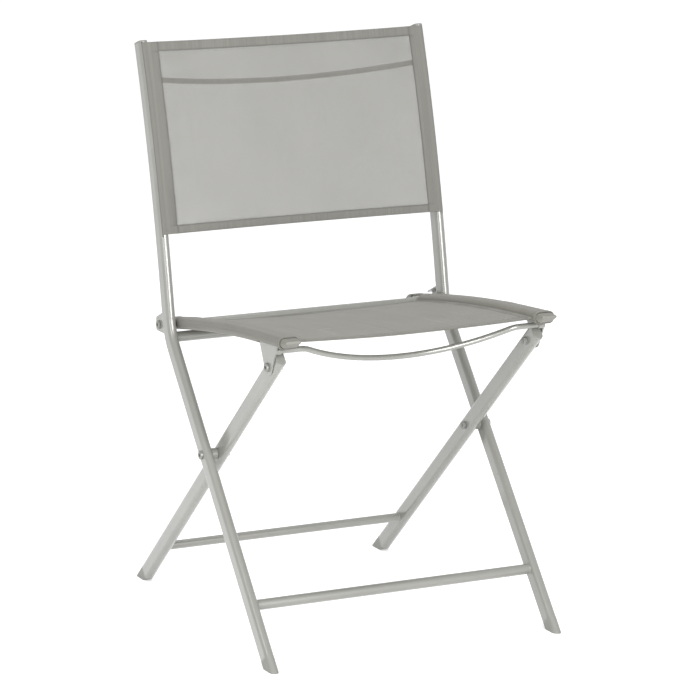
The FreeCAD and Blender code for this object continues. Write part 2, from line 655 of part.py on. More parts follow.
def hook_outline(x_from, x_to, grow=0.0):
    """Plate under the seat tube reaching down round the hook bolt."""
    bolt_at = (HOOK_BOLT.y, HOOK_BOLT.z)
    radius = HOOK_RADIUS + grow
    top_rear = (HOOK_TOP_REAR_Y + grow, seat_axis(0, HOOK_TOP_REAR_Y).z)
    top_front = (HOOK_TOP_FRONT_Y - grow, seat_axis(0, HOOK_TOP_FRONT_Y).z)
    outline = [
        top_rear,
        top_front,
        tangent_point(bolt_at, radius, top_front, 1),
        bolt_at,
        tangent_point(bolt_at, radius, top_rear, -1),
    ]
    return prism(outline, x_from, x_to).fuse(cylinder(radius, x_from, x_to, *bolt_at))


def hook_bracket():
    """Hook plate with its open mouth and the eye that holds the front bar."""
    plate = hook_outline(HOOK_INNER_X, HOOK_OUTER_X)
    eye = cylinder(EYE_D / 2, HOOK_INNER_X - EYE_LENGTH, HOOK_OUTER_X, FRONT_BAR_Y, FRONT_BAR_Z)
    inner, outer = HOOK_INNER_X - OVERCUT, HOOK_OUTER_X + OVERCUT
    mouth = cylinder(HOOK_SLOT_WIDTH / 2, inner, outer, HOOK_BOLT.y, HOOK_BOLT.z)
    corner = Vector(-OVERCUT, 0, -HOOK_SLOT_WIDTH / 2)
    throat = Part.makeBox(PLATE + 2 * OVERCUT, FAR, HOOK_SLOT_WIDTH, corner)
    throat.Placement = FreeCAD.Placement(
        Vector(HOOK_INNER_X, HOOK_BOLT.y, HOOK_BOLT.z), FreeCAD.Rotation(ACROSS, -HOOK_MOUTH_ANGLE)
    ).multiply(throat.Placement)
    hole_start = HOOK_INNER_X - 2 * EYE_LENGTH
    bar_hole = cylinder(FRONT_BAR_D / 2, hole_start, HOOK_INNER_X, FRONT_BAR_Y, FRONT_BAR_Z)
    bracket = plate.fuse(eye).cut(mouth).cut(throat).cut(bar_hole)
    return largest(bracket.cut(SEAT_OUTSIDE).removeSplitter())


def seat_sling():
    """Fabric: a sleeve round each side tube and the slightly sagging sheet between them."""
    y = SEAT_SLEEVE_REAR_Y
    outer = round_seat(Part.Face(seat_section(y, -FABRIC_GAP - SEAT_FABRIC)), y, SEAT_SLEEVE_FRONT_Y)
    inner = round_seat(Part.Face(seat_section(y, -FABRIC_GAP)), y, SEAT_SLEEVE_FRONT_Y)
    sleeve = outer.cut(inner)
    y = SEAT_SHEET_REAR_Y
    edge_x = SEAT_INNER_X - FABRIC_GAP - SEAT_FABRIC / 2
    half = seat_up(y) * (SEAT_FABRIC / 2)
    left, right = seat_axis(-edge_x, y), seat_axis(edge_x, y)
    dip = seat_axis(0, y) - seat_up(y) * SEAT_SAG
    section = Part.Wire([
        Part.Arc(left + half, dip + half, right + half).toShape(),
        Part.makeLine(right + half, right - half),
        Part.Arc(right - half, dip - half, left - half).toShape(),
        Part.makeLine(left - half, left + half),
    ])
    sheet = round_seat(Part.Face(section), y, SEAT_SHEET_FRONT_Y)
    gap = SLEEVE_CUTOUT_GAP
    bar_radius = SEAT_REAR_BAR_D / 2 + WELD_LEG + gap
    bar_room = cylinder(bar_radius, 0, SEAT_TUBE_X, SEAT_REAR_BAR_Y, SEAT_REAR_BAR_Z)
    pin_start = SEAT_INNER_X - EYE_LENGTH
    pin_room = cylinder(PIVOT_EYELET_D / 2, pin_start, LONG_INNER_X, SEAT_PIVOT_Y, SEAT_PIVOT_Z)
    plate_room = hook_outline(HOOK_INNER_X - gap, HOOK_OUTER_X + gap, gap)
    for room in (bar_room, pin_room, plate_room):
        sleeve = sleeve.cut(room)
    sleeve = largest(sleeve)
    return solid_of(sheet.fuse([sleeve, mirrored(sleeve)]).removeSplitter())


# ---- every piece ----------------------------------------------------------------------------------
PIVOT_SHOULDER_X = SEAT_INNER_X - SIDE_GAP
PIVOT_NUT_X = PIVOT_SHOULDER_X - NUT_HEIGHT
CROSS_SHOULDER_X = REAR_INNER_X - SIDE_GAP
CROSS_NUT_X = CROSS_SHOULDER_X - NUT_HEIGHT
HOOK_NUT_X = REAR_INNER_X - NUT_HEIGHT
SEAT_PIVOT_AT = (SEAT_PIVOT_Y, SEAT_PIVOT_Z)
CROSS_PIVOT_AT = (CROSS_PIVOT_Y, CROSS_PIVOT_Z)
HOOK_BOLT_AT = (HOOK_BOLT.y, HOOK_BOLT.z)
STRETCHER_FRONT_Y = FRONT_STRETCHER_Z * math.tan(math.radians(FRONT_LEG_LEAN))
STRETCHER_REAR_Y = REAR_LEG_FLOOR_Y + REAR_STRETCHER_Z * math.tan(math.radians(REAR_LEG_LEAN))


def leg_spacer():
    ring = cylinder(SPACER_D / 2, REAR_OUTER_X + SIDE_GAP, LONG_INNER_X, *CROSS_PIVOT_AT)
    return ring.cut(cylinder(BOLT_D / 2, REAR_OUTER_X, LONG_INNER_X + OVERCUT, *CROSS_PIVOT_AT))


def front_stretcher():
    return cross_bar(FRONT_STRETCHER_D, LONG_INNER_X, STRETCHER_FRONT_Y, FRONT_STRETCHER_Z, LONG_OUTSIDES)


def rear_stretcher():
    return cross_bar(REAR_STRETCHER_D, REAR_INNER_X, STRETCHER_REAR_Y, REAR_STRETCHER_Z, REAR_OUTSIDES)


def seat_rest_bar():
    return cross_bar(SEAT_REST_D, LONG_INNER_X, SEAT_REST_Y, SEAT_REST_Z, LONG_OUTSIDES)


PAIRS = {
    "long_tube": long_tube(),
    "top_cap": top_cap(),
    "front_foot": foot(LONG_TUBE_X, 0.0, FRONT_LEG_LEAN, FRONT_FOOT_SEAM),
    "pivot_ear": pivot_ear(),
    "seat_pivot_bolt": bolt(EAR_INNER_X + PLATE, PIVOT_SHOULDER_X, PIVOT_NUT_X, *SEAT_PIVOT_AT),
    "seat_pivot_nut": nut(PIVOT_NUT_X, *SEAT_PIVOT_AT),
    "keder_rod": keder_rod(),
    "leg_bolt": bolt(LONG_OUTER_X, CROSS_SHOULDER_X, CROSS_NUT_X, *CROSS_PIVOT_AT),
    "leg_nut": nut(CROSS_NUT_X, *CROSS_PIVOT_AT),
    "leg_spacer": leg_spacer(),
    "rear_leg": rear_leg(),
    "rear_leg_plug": rear_leg_plug(),
    "rear_foot": foot(REAR_LEG_X, REAR_LEG_FLOOR_Y, REAR_LEG_LEAN, REAR_FOOT_SEAM),
    "hook_bolt": bolt(HOOK_OUTER_X + SIDE_GAP, REAR_INNER_X, HOOK_NUT_X, *HOOK_BOLT_AT),
    "hook_nut": nut(HOOK_NUT_X, *HOOK_BOLT_AT),
    "seat_tube": seat_tube(),
    "seat_tip": seat_tip(),
    "seat_rear_cap": seat_end_cap(SEAT_TUBE_REAR_Y, seat_forward(SEAT_TUBE_REAR_Y) * -1),
    "hook_bracket": hook_bracket(),
}
SINGLES = {
    "front_stretcher": front_stretcher(),
    "seat_rest_bar": seat_rest_bar(),
    "rear_stretcher": rear_stretcher(),
    "back_bar": back_bar(),
    "back_sling": back_sling(),
    "seat_rear_bar": seat_rear_bar(),
    "seat_front_bar": front_bar(),
    "seat_sling": seat_sling(),
}

pieces = dict(SINGLES)
for name, shape in PAIRS.items():
    pieces[name + "_right"] = shape
    pieces[name + "_left"] = mirrored(shape)

FRONT_END_Y = pieces["seat_tip_right"].optimalBoundingBox(False, False).YMin
REAR_END_Y = pieces["rear_foot_right"].optimalBoundingBox(False, False).YMax
to_centre = Vector(0, -(FRONT_END_Y + REAR_END_Y) / 2, 0)

os.makedirs("parts", exist_ok=True)
for name, shape in pieces.items():
    moved = shape.copy()
    moved.translate(to_centre)
    moved.exportStep(os.path.join("parts", name + ".step"))
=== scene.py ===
"""Looks for the folding sling chair: woven mesh fabric, stitching, materials, light and camera.

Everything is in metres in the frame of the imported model.  Side plane places are (y, z), with y measured
backwards from the front foot's floor point, as the chair was designed, and moved onto the frame by FRAME_Y.
"""
import json
import math

import bmesh
import bpy
import numpy as np
from mathutils import Matrix, Vector


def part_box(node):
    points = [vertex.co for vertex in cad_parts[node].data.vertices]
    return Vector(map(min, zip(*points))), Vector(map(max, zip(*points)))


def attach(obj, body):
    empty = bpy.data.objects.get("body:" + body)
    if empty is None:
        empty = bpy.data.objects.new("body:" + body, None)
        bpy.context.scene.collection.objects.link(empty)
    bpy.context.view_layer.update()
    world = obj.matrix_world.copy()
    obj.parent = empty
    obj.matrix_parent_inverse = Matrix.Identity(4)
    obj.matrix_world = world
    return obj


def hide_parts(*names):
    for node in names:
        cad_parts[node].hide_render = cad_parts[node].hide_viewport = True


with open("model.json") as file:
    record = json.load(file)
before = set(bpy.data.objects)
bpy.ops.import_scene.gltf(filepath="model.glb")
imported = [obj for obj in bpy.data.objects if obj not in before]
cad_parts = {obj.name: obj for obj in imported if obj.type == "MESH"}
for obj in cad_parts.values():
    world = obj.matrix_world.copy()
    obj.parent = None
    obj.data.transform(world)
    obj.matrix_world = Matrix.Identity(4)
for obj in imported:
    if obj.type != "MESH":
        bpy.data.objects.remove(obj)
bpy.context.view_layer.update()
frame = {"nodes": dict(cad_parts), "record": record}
nodes = frame["nodes"]

# ---- the chair's own dimensions -------------------------------------------------------------------
CROSS_PIVOT_Y = 0.2195
spacer_low, spacer_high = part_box("leg_spacer_right")
FRAME_Y = (spacer_low.y + spacer_high.y) / 2 - CROSS_PIVOT_Y

TUBE_DEPTH, TUBE_WIDTH = 0.027, 0.0135
TUBE_X = 0.2195
UPRIGHT_RADIUS = 2.47
UPRIGHT_LEAN = math.radians(9.5)
FRONT_LEG_LEAN = math.radians(40.41)
FRONT_LEG_LENGTH = 0.5335
CURVE_START_Z = 0.48
SHEET_TOP_Z, SHEET_BOTTOM_Z = 0.8195, 0.551
SLOT_ANGLE = math.radians(30)
SLOT_TUCK = 0.0022                  # how far the back cloth goes into the slot
FABRIC_GAP = 0.00035

SEAT_TUBE_X = 0.1945
SEAT_PIVOT_Y, SEAT_PIVOT_Z = 0.3765, 0.417
SEAT_PITCH = math.radians(9.7)
SEAT_RADIUS = 3.2
SHEET_FRONT_Y, SHEET_REAR_Y = -0.010, 0.352
SLEEVE_FRONT_Y, SLEEVE_REAR_Y = -0.0155, 0.392
SEAT_SAG = 0.0042

# cut-outs in the sleeves, a little wider than what passes through them
REAR_BAR_Y, REAR_BAR_ROOM = 0.362, 0.0088
PIVOT_BOLT_ROOM = 0.0078
PLATE_X, PLATE_ROOM = 0.0104, 0.0022
PLATE_FRONT_Y, PLATE_REAR_Y = -0.0065, 0.0625

# cloth, hems and how it hangs
BACK_CLOTH, SEAT_CLOTH = 0.0005, 0.0011
WRAP_CLOTH = 0.0016                 # thickest the back cloth is where it wraps the upright
TOP_HEM, BOTTOM_HEM, SIDE_HEM_X = 0.0135, 0.0115, 0.2
SEAT_HEM, SEAT_SIDE_SEAM = 0.014, 0.168
SLEEVE_HEM_FROM, SLEEVE_HEM_TO, SLEEVE_SEAM = 0.009, 0.0105, 0.0098
HEM_EDGE = 0.0008                   # half the width over which a hem begins
HELD_FROM, HELD_TO = 0.196, 0.212   # the back cloth lets go of the upright between these
BACK_BOW = 0.0022                   # how far its middle is drawn back
TOP_DIP, BOTTOM_DIP = 0.0016, 0.0012

BACK_COLUMNS, BACK_ROWS = 190, 140
SEAT_COLUMNS, SEAT_ROWS = 120, 110
SLEEVE_AROUND, SLEEVE_ROWS = 72, 172

SHEET_HEIGHT = SHEET_TOP_Z - SHEET_BOTTOM_Z
ROUND_REACH = (TUBE_DEPTH - TUBE_WIDTH) / 2
FRONT_FACE = TUBE_DEPTH / 2 + FABRIC_GAP
BACK_HALF = TUBE_X + SLOT_ANGLE * (TUBE_WIDTH / 2 + FABRIC_GAP) + SLOT_TUCK
SEAT_EDGE_X = SEAT_TUBE_X - TUBE_DEPTH / 2 - FABRIC_GAP


# ---- sheets built as thick grids ------------------------------------------------------------------
def smooth(value, low, high):
    """0 below low, 1 above high, eased between."""
    t = np.clip((value - low) / (high - low), 0, 1)
    return t * t * (3 - 2 * t)


def ridge(value, centre, width):
    """Soft bump of height 1 and the given half width."""
    return np.exp(-((value - centre) / width) ** 2)


def spaced(low, high, count, crowd):
    """Steps from low to high, crowded towards both ends."""
    t = np.linspace(-1, 1, count)
    eased = (1 - crowd) * t + crowd * np.sin(t * math.pi / 2)
    return low + (high - low) * (eased + 1) / 2


def hem_band(from_edge, width):
    """1 in the hem along an edge, 0 beyond it."""
    return 1 - smooth(from_edge, width - HEM_EDGE, width + HEM_EDGE)


def hem_swell(from_edge, width):
    """How full the folded hem is at this distance from its edge, 0 to 1."""
    return hem_band(from_edge, width) * np.sin(np.clip(from_edge / width, 0, 1) * math.pi) ** 0.5


def grid_normals(points, closed):
    """Unit normals of a grid of points, [across, along, xyz]."""
    if closed:
        across = np.roll(points, -1, 0) - np.roll(points, 1, 0)
    else:
        across = np.gradient(points, axis=0)
    along = np.gradient(points, axis=1)
    normal = np.cross(across, along)
    return normal / np.linalg.norm(normal, axis=2, keepdims=True)


class Cloth:
    """Collects thick grids into one mesh with flat cloth coordinates and masks."""

    def __init__(self):
        self.points, self.faces, self.flat, self.masks = [], [], [], []
        self.count = 0

    def add(self, points, thickness, flat_u, flat_v, mask, keep=None, closed=False, turn=1):
        """points, thickness, flat_u, flat_v and mask are grids; keep says which cells exist."""
        across, along = points.shape[:2]
        normal = grid_normals(points, closed) * turn
        offset = normal * (thickness / 2)[..., None]
        cells = across if closed else across - 1
        if keep is None:
            keep = np.ones((cells, along - 1), bool)
        base = self.count
        layer = across * along
        for shell in (points + offset, points - offset):
            self.points.append(shell.reshape(-1, 3))
            self.flat.append(np.stack([flat_u, flat_v], -1).reshape(-1, 2))
            self.masks.append(mask.reshape(-1, 2))
        self.count += 2 * layer

        def vertex(i, j, shell):
            return base + shell * layer + (i % across) * along + j

        def kept(i, j):
            if closed:
                i %= across
            return 0 <= i < cells and 0 <= j < along - 1 and keep[i, j]

        for i in range(cells):
            for j in range(along - 1):
                if not keep[i, j]:
                    continue
                corners = [(i, j), (i + 1, j), (i + 1, j + 1), (i, j + 1)]
                beyond = [(i, j - 1), (i + 1, j), (i, j + 1), (i - 1, j)]
                front = [vertex(a, b, 0) for a, b in corners]
                back = [vertex(a, b, 1) for a, b in corners]
                if turn < 0:
                    front, back = front[::-1], back[::-1]
                self.faces.append(front)
                self.faces.append(back[::-1])
                for k, neighbour in enumerate(beyond):
                    if kept(*neighbour):
                        continue
                    p, q = corners[k], corners[(k + 1) % 4]
                    if turn < 0:
                        p, q = q, p
                    self.faces.append([vertex(*p, 1), vertex(*q, 1), vertex(*q, 0), vertex(*p, 0)])

    def build(self, name):
        mesh = bpy.data.meshes.new(name)
        points = np.concatenate(self.points)
        mesh.from_pydata(points.tolist(), [], self.faces)
        mesh.validate()
        flat = np.concatenate(self.flat)
        masks = np.concatenate(self.masks)
        loops = np.zeros(len(mesh.loops), int)
        mesh.loops.foreach_get("vertex_index", loops)
        flat_map = mesh.uv_layers.new(name="cloth")
        flat_map.data.foreach_set("uv", flat[loops].ravel())
        # the second mask says where painted shade darkens the cloth along its seams
        for k, mask_name in enumerate(("hem", "painted_seam_shade")):
            attribute = mesh.attributes.new(mask_name, "FLOAT", "POINT")
            attribute.data.foreach_set("value", masks[:, k].astype(np.float32))
        piece = smooth_piece(name, mesh)
        loose = find_loose(mesh)
        if len(loose):
            drop_vertices(mesh, loose)
        return piece


def smooth_piece(name, mesh):
    """The mesh as a smooth-shaded object in the scene."""
    mesh.polygons.foreach_set("use_smooth", np.ones(len(mesh.polygons), bool))
    piece = bpy.data.objects.new(name, mesh)
    bpy.context.scene.collection.objects.link(piece)
    return piece


def find_loose(mesh):
    """Indices of the vertices that no face uses."""
    used = np.zeros(len(mesh.vertices), bool)
    index = np.zeros(len(mesh.loops), int)
    mesh.loops.foreach_get("vertex_index", index)
    used[index] = True
    return np.nonzero(~used)[0]


def drop_vertices(mesh, indices):
    work = bmesh.new()
    work.from_mesh(mesh)
    work.verts.ensure_lookup_table()
    bmesh.ops.delete(work, geom=[work.verts[i] for i in indices], context="VERTS")
    work.to_mesh(mesh)
    work.free()


# ---- back fabric ----------------------------------------------------------------------------------
corner_y = FRONT_LEG_LENGTH * math.sin(FRONT_LEG_LEAN)
corner_z = FRONT_LEG_LENGTH * math.cos(FRONT_LEG_LEAN)
curve_start_y = corner_y + (CURVE_START_Z - corner_z) * math.tan(UPRIGHT_LEAN)
BACK_HUB_Y = curve_start_y + math.cos(UPRIGHT_LEAN) * UPRIGHT_RADIUS + FRAME_Y
BACK_HUB_Z = CURVE_START_Z - math.sin(UPRIGHT_LEAN) * UPRIGHT_RADIUS


def back_point(x, forward, lean):
    """Point at x, this far ahead of the upright's axis, where the upright leans this much."""
    radius = UPRIGHT_RADIUS + forward
    return np.stack([x, BACK_HUB_Y - np.cos(lean) * radius, BACK_HUB_Z + np.sin(lean) * radius], -1)


def front_lean(z):
    """Lean of the upright where its front face is at this height."""
    return math.asin((z - BACK_HUB_Z) / (UPRIGHT_RADIUS + FRONT_FACE))


LEAN_LOW, LEAN_HIGH = front_lean(SHEET_BOTTOM_Z), front_lean(SHEET_TOP_Z)


def back_bow(distance):
    """0 at the uprights, 1 in the middle of the back."""
    return 1 - np.clip(distance / TUBE_X, -1, 1) ** 2


def back_free(distance):
    """1 where the back cloth is free, 0 where it lies on the uprights."""
    return 1 - smooth(np.abs(distance), HELD_FROM, HELD_TO)


def back_lean(share, bow):
    """Lean at a share of the cloth's height; in the middle the top edge dips and the bottom edge rises."""
    rise = BOTTOM_DIP * bow * (1 - smooth(share, 0, 0.5)) - TOP_DIP * bow * smooth(share, 0.5, 1)
    return LEAN_LOW + (LEAN_HIGH - LEAN_LOW) * share + rise / UPRIGHT_RADIUS


def back_section(distance, thickness):
    """Place across the chair from the distance along the cloth, measured from the middle: x and forward."""
    side = np.sign(distance)
    d = np.abs(distance)
    round_radius = TUBE_WIDTH / 2 + FABRIC_GAP + thickness / 2
    over = np.clip(d - TUBE_X, 0, None)
    angle = np.clip(over / round_radius, 0, SLOT_ANGLE)
    inward = np.clip(over - SLOT_ANGLE * round_radius, 0, None)
    radius = round_radius - inward
    x = np.where(d < TUBE_X, d, TUBE_X + radius * np.sin(angle))
    forward = np.where(d < TUBE_X, FRONT_FACE + thickness / 2, ROUND_REACH + radius * np.cos(angle))
    return side * x, forward


def back_fabric():
    distance, share = np.meshgrid(spaced(-BACK_HALF, BACK_HALF, BACK_COLUMNS, 0.8),
                                  spaced(0, 1, BACK_ROWS, 0.7), indexing="ij")
    from_bottom = share * SHEET_HEIGHT
    from_top = SHEET_HEIGHT - from_bottom
    bow, free = back_bow(distance), back_free(distance)
    side_hem = smooth(np.abs(distance), SIDE_HEM_X - HEM_EDGE, SIDE_HEM_X + HEM_EDGE)
    end_hem = np.maximum(hem_band(from_top, TOP_HEM), hem_band(from_bottom, BOTTOM_HEM))
    hem = np.maximum(side_hem, end_hem)
    # doubled cloth is thicker, a folded hem swells, and its seam pinches it
    swell = np.maximum(hem_swell(from_top, TOP_HEM), hem_swell(from_bottom, BOTTOM_HEM))
    pinch = (ridge(from_top, TOP_HEM, 0.0009) + ridge(from_bottom, BOTTOM_HEM, 0.0009)) * free
    thickness = BACK_CLOTH * (1 + 1.6 * hem) + 0.0009 * swell * free
    thickness = thickness * (1 - 0.35 * np.clip(pinch, 0, 1))
    x, forward = back_section(distance, np.minimum(thickness, WRAP_CLOTH))
    # the cloth is drawn back a little in the middle, with faint ripples from the side hems
    across = np.clip(distance / TUBE_X, -1, 1)
    near_side = smooth(np.abs(across), 0.55, 0.9)
    ripple = 0.00022 * np.sin(share * 41 + 2.2 * np.sin(across * 5)) * near_side * free
    rumple = 0.00030 * np.sin(across * 9.0 + share * 4.0) * np.sin(share * 7.0 + 1.0) * free
    forward = forward - BACK_BOW * bow * free + ripple + rumple
    points = back_point(x, forward, back_lean(share, bow))
    # painted shade: dark lines along the pinched seams of the end hems and along the side hems' edges
    end_seam_shade = np.maximum(ridge(from_top, TOP_HEM, 0.0014), ridge(from_bottom, BOTTOM_HEM, 0.0014))
    seam_shade = np.maximum(end_seam_shade * free, ridge(np.abs(distance), SIDE_HEM_X, 0.0013))
    cloth = Cloth()
    cloth.add(points, thickness, distance, from_bottom, np.stack([hem, seam_shade], -1))
    return cloth.build("back_fabric"), 2 * BACK_HALF, SHEET_HEIGHT / math.cos((LEAN_LOW + LEAN_HIGH) / 2)


# ---- seat fabric ----------------------------------------------------------------------------------
SEAT_HUB_Y = SEAT_PIVOT_Y - SEAT_RADIUS * math.sin(SEAT_PITCH)
SEAT_HUB_Z = SEAT_PIVOT_Z - SEAT_RADIUS * math.cos(SEAT_PITCH)


def seat_pitch(y):
    """Pitch of the curved seat tube at its station y."""
    return np.arcsin((y - SEAT_HUB_Y) / SEAT_RADIUS)


def seat_point(x, height, y):
    """Point at x, this far above the seat tube's centreline, at the tube's station y."""
    pitch = seat_pitch(y)
    radius = SEAT_RADIUS + height
    return np.stack([x, SEAT_HUB_Y + FRAME_Y + np.sin(pitch) * radius,
                     SEAT_HUB_Z + np.cos(pitch) * radius], -1)


def oval_ring(offset, count):
    """Points round the flat-oval tube, this far outside it: across, up, and the distance round."""
    flat = TUBE_DEPTH - TUBE_WIDTH
    radius = TUBE_WIDTH / 2 + offset
    half_round = math.pi * radius
    s = (np.arange(count) + 0.5) / count * 2 * (flat + half_round)
    across, up = np.zeros(count), np.zeros(count)
    for k, here in enumerate(s):
        if here < flat:
            across[k], up[k] = -flat / 2 + here, radius
        elif here < flat + half_round:
            a = (here - flat) / radius
            across[k], up[k] = flat / 2 + radius * math.sin(a), radius * math.cos(a)
        elif here < 2 * flat + half_round:
            across[k], up[k] = flat / 2 - (here - flat - half_round), -radius
        else:
            a = (here - 2 * flat - half_round) / radius
            across[k], up[k] = -flat / 2 - radius * math.sin(a), -radius * math.cos(a)
    return across, up, s


def cell_middle(grid):
    """Values in the middle of each cell of a grid that closes on itself across."""
    paired = grid + np.roll(grid, -1, 0)
    return paired[:, :-1] / 4 + paired[:, 1:] / 4


def add_seat_sheet(cloth):
    """The sheet between the side tubes."""
    x, y = np.meshgrid(spaced(-SEAT_EDGE_X, SEAT_EDGE_X, SEAT_COLUMNS, 0.6),
                       spaced(SHEET_FRONT_Y, SHEET_REAR_Y, SEAT_ROWS, 0.7), indexing="ij")
    from_front, from_rear = y - SHEET_FRONT_Y, SHEET_REAR_Y - y
    across = x / SEAT_EDGE_X
    slack = 1 - across ** 2
    side_seam = smooth(np.abs(x), SEAT_SIDE_SEAM - HEM_EDGE, SEAT_SIDE_SEAM + HEM_EDGE)
    end_hem = np.maximum(hem_band(from_front, SEAT_HEM), hem_band(from_rear, SEAT_HEM))
    hem = np.maximum(side_seam, end_hem)
    swell = np.maximum(hem_swell(from_front, SEAT_HEM), hem_swell(from_rear, SEAT_HEM))
    thickness = SEAT_CLOTH * (1 + 0.7 * hem) + 0.0007 * swell * smooth(slack, 0.02, 0.15)
    near_side = smooth(np.abs(across), 0.6, 0.95)
    ripple = 0.00025 * np.sin(y * 95 + 1.5 * np.sin(across * 4)) * near_side
    rumple = 0.00035 * np.sin(across * 6.0 + y * 17) * np.sin(y * 23 + 0.7)
    height = -SEAT_SAG * slack + (ripple + rumple) * smooth(slack, 0.01, 0.1)
    # painted shade: dark lines along the seams of the end hems and the side seams
    seam_shade = np.maximum(ridge(from_front, SEAT_HEM, 0.0011), ridge(from_rear, SEAT_HEM, 0.0011))
    seam_shade = np.maximum(seam_shade, ridge(np.abs(x), SEAT_SIDE_SEAM, 0.0009))
    cloth.add(seat_point(x, height, y), thickness, x, y, np.stack([hem, seam_shade], -1))


def add_sleeve(cloth, side):
    """A sleeve round a side tube, open where the bolt, the rear bar and the hook plate pass."""
    ring_x, ring_up, ring_s = oval_ring(FABRIC_GAP + SEAT_CLOTH / 2, SLEEVE_AROUND)
    stations = spaced(SLEEVE_FRONT_Y, SLEEVE_REAR_Y, SLEEVE_ROWS, 0.3)
    dx, y = np.meshgrid(ring_x, stations, indexing="ij")
    up = np.repeat(ring_up[:, None], SLEEVE_ROWS, 1)
    s = np.repeat(ring_s[:, None], SLEEVE_ROWS, 1)
    front_hem = 1 - smooth(y - SLEEVE_FRONT_Y, SLEEVE_HEM_FROM, SLEEVE_HEM_TO)
    rear_hem = 1 - smooth(SLEEVE_REAR_Y - y, SLEEVE_HEM_FROM, SLEEVE_HEM_TO)
    end_hem = np.maximum(front_hem, rear_hem)
    # painted shade: dark lines along the seams of the sleeve's end hems
    seam_shade = np.maximum(ridge(y, SLEEVE_FRONT_Y + SLEEVE_SEAM, 0.0009),
                      ridge(y, SLEEVE_REAR_Y - SLEEVE_SEAM, 0.0009))
    puff = 0.00018 * np.sin(y * 61 + s * 90) * (1 + np.sin(y * 23))
    lift = 0.0003 * end_hem + np.clip(puff, 0, None)
    outward = np.stack([np.sign(dx) * np.clip(np.abs(dx) - ROUND_REACH, 0, None), up], -1)
    outward = outward / np.linalg.norm(outward, axis=2, keepdims=True)
    x = side * (SEAT_TUBE_X + dx + outward[..., 0] * lift)
    points = seat_point(x, up + outward[..., 1] * lift, y)
    cell_y, cell_x, cell_up = cell_middle(y), cell_middle(dx), cell_middle(up)
    bar = (np.abs(cell_y - REAR_BAR_Y) < REAR_BAR_ROOM) & (cell_x < -ROUND_REACH)
    bolt = (np.hypot(cell_y - SEAT_PIVOT_Y, cell_up) < PIVOT_BOLT_ROOM) & (np.abs(cell_x) > ROUND_REACH)
    plate = (cell_up < 0) & (np.abs(cell_x - PLATE_X) < PLATE_ROOM)
    plate &= (cell_y > PLATE_FRONT_Y) & (cell_y < PLATE_REAR_Y)
    cloth.add(points, SEAT_CLOTH * (1 + 0.35 * end_hem), s, y, np.stack([0.75 + 0.25 * end_hem, seam_shade], -1),
              keep=~(bar | bolt | plate), closed=True, turn=-side)


def seat_fabric():
    cloth = Cloth()
    add_seat_sheet(cloth)
    for side in (-1, 1):
        add_sleeve(cloth, side)
    return cloth.build("seat_fabric")


# ---- stitching ------------------------------------------------------------------------------------
STITCH_PITCH, STITCH_LENGTH, THREAD_RADIUS = 0.0036, 0.0027, 0.00028
STITCH_START = 0.0004
STITCH_SINK = 0.4 * THREAD_RADIUS             # how deep a stitch's two ends go into the cloth
BACK_MIDDLE = 0.0008                          # the hemmed back cloth's mid face, ahead of the upright
BACK_PROUD_FRONT, BACK_PROUD_BEHIND = 0.0006, -0.0012
BACK_STITCH_IN, SEAT_STITCH_IN = 0.0016, 0.0018
BACK_SIDE_ROWS, SEAT_SIDE_ROWS = (0.0018, 0.0048), (0.0018, 0.0052)
SEAT_PROUD_END, SEAT_PROUD_SIDE = 0.0011, 0.0010


def stitches(name, lines):
    """Rows of short raised stitches; a line is (points, outward directions)."""
    verts, faces = [], []
    for points, outward in lines:
        steps = np.linalg.norm(np.diff(points, axis=0), axis=1)
        run = np.concatenate([[0], np.cumsum(steps)])
        for k in range(int(run[-1] / STITCH_PITCH)):
            start = k * STITCH_PITCH + STITCH_START
            ends = [start + share * STITCH_LENGTH for share in (0, 0.3, 0.7, 1)]
            at = [np.array([np.interp(e, run, points[:, a]) for a in range(3)]) for e in ends]
            out = np.array([np.interp(start, run, outward[:, a]) for a in range(3)])
            out = out / np.linalg.norm(out)
            way = at[3] - at[0]
            way = way / np.linalg.norm(way)
            over = np.cross(out, way)
            base = len(verts)
            verts.append(at[0] - out * STITCH_SINK)
            for centre in at[1:3]:
                for a, b in ((1, 0), (0, 1), (-1, 0), (0, -1)):
                    verts.append(centre + (over * a + out * b) * THREAD_RADIUS)
            verts.append(at[3] - out * STITCH_SINK)
            for q in range(4):
                r = (q + 1) % 4
                faces.append([base, base + 1 + q, base + 1 + r])
                faces.append([base + 1 + q, base + 5 + q, base + 5 + r, base + 1 + r])
                faces.append([base + 9, base + 5 + r, base + 5 + q])
    mesh = bpy.data.meshes.new(name)
    mesh.from_pydata([tuple(v) for v in verts], [], faces)
    return smooth_piece(name, mesh)


def both_faces(place, front, behind):
    """The same line on both faces of the cloth; place gives points and outward ways at an offset."""
    front_points, out = place(front)
    behind_points, _ = place(behind)
    return [(front_points, out), (behind_points, -out)]


def back_stitch_lines():
    def on_back(x, share, proud):
        bow = back_bow(x)
        forward = FRONT_FACE + BACK_MIDDLE - BACK_BOW * bow * back_free(x) + proud
        lean = back_lean(share, bow)
        return back_point(x, forward, lean), np.stack([0 * x, -np.cos(lean), np.sin(lean)], -1)

    def row(x, share):
        return both_faces(lambda proud: on_back(x, share, proud), BACK_PROUD_FRONT, BACK_PROUD_BEHIND)

    lines = []
    x = np.linspace(-SIDE_HEM_X, SIDE_HEM_X, 90)
    for from_bottom in (SHEET_HEIGHT - TOP_HEM + BACK_STITCH_IN, BOTTOM_HEM - BACK_STITCH_IN):
        lines += row(x, np.full_like(x, from_bottom / SHEET_HEIGHT))
    share = np.linspace(0.01, 0.99, 60)
    for beyond_hem in BACK_SIDE_ROWS:
        for side in (-1, 1):
            lines += row(np.full_like(share, side * (SIDE_HEM_X + beyond_hem)), share)
    return lines


